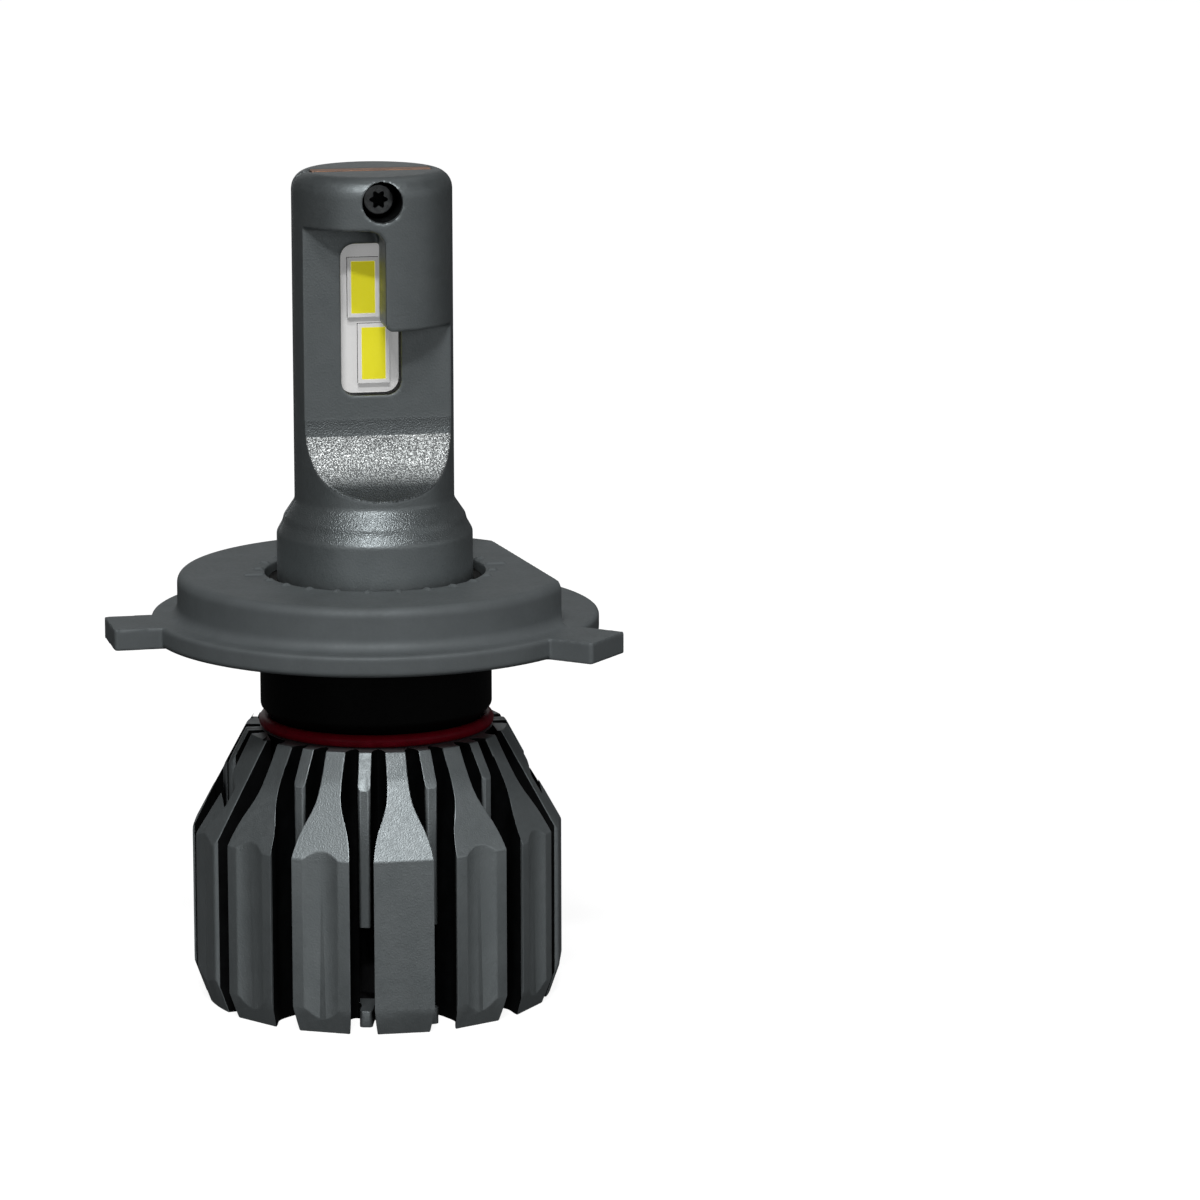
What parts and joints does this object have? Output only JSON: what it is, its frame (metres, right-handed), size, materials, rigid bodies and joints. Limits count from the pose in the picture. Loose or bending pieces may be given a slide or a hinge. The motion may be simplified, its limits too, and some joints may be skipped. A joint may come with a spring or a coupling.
{
  "type": "headlight bulb",
  "caption": "LED headlight bulb: finned heat sink with fan, black neck, three-lug turning flange collar and a two-sided LED stem with low-beam shield.",
  "frame": {"origin": "the cap's reference centre: on the bulb's axis, in the plane of the upper faces of the collar's three lugs, where a headlamp's bulb holder locates the bulb", "axes": "+Z along the bulb's axis towards the stem's tip; the two body halves part on the plane y = 0, with the front half on the -Y side; the collar's reference lug points along -X, 3 degrees towards -Y"},
  "size_m": [0.0475, 0.043, 0.0802],
  "materials": {
    "casting": "fine matte dark grey anodised die casting, machined paler underneath",
    "collar_metal": "fine matte dark grey anodised die casting",
    "black_steel": "black oxide, satin",
    "copper": "bare copper, dulled",
    "white_mask": "white solder mask, satin",
    "led_body": "white moulded package",
    "phosphor": "yellow phosphor resin",
    "black_plastic": "black moulded plastic, semi-matte",
    "red_rubber": "dark red silicone, smooth",
    "steel": "bare steel",
    "bronze": "sintered bronze",
    "green_board": "green solder mask",
    "chip_resin": "black epoxy",
    "ceramic": "tan ceramic",
    "ferrite": "sintered ferrite"
  },
  "bodies": {
    "bulb_body": {"body_half_front": "casting", "body_half_rear": "casting", "clamp_screw": "black_steel", "led_board_core": "copper", "led_circuit_front": "white_mask", "led_circuit_rear": "white_mask", "led_low_front": "led_body", "led_low_rear": "led_body", "led_high_front": "led_body", "led_high_rear": "led_body", "phosphor_low_front": "phosphor", "phosphor_low_rear": "phosphor", "phosphor_high_front": "phosphor", "phosphor_high_rear": "phosphor", "barrel_sleeve": "black_plastic", "collar_snap_ring": "steel", "o_ring": "red_rubber", "driver_board": "green_board", "power_inductor": "ferrite", "input_capacitor": "black_plastic", "driver_chip": "chip_resin", "rectifier": "chip_resin", "switching_transistor": "chip_resin", "output_capacitor": "ceramic", "link_lead_common": "copper", "link_lead_low": "copper", "link_lead_high": "copper", "fan_plate": "black_plastic", "fan_screw_front": "black_steel", "fan_screw_rear": "black_steel", "fan_board": "green_board", "fan_stator": "steel", "fan_winding_1": "copper", "fan_winding_2": "copper", "fan_winding_3": "copper", "fan_winding_4": "copper", "bearing_bush": "bronze"},
    "collar": {"flange_collar": "collar_metal"},
    "rotor": {"fan_rotor": "black_plastic", "rotor_magnet": "ferrite", "rotor_shaft": "steel"}
  },
  "joints": [
    {"name": "collar_turn", "type": "hinge", "parent": "bulb_body", "child": "collar", "pos_m": [0, 0, 0], "axis": [0, 0, 1], "continuous": true},
    {"name": "fan_spin", "type": "hinge", "parent": "bulb_body", "child": "rotor", "pos_m": [0, 0, -0.033], "axis": [0, 0, 1], "continuous": true}
  ]
}
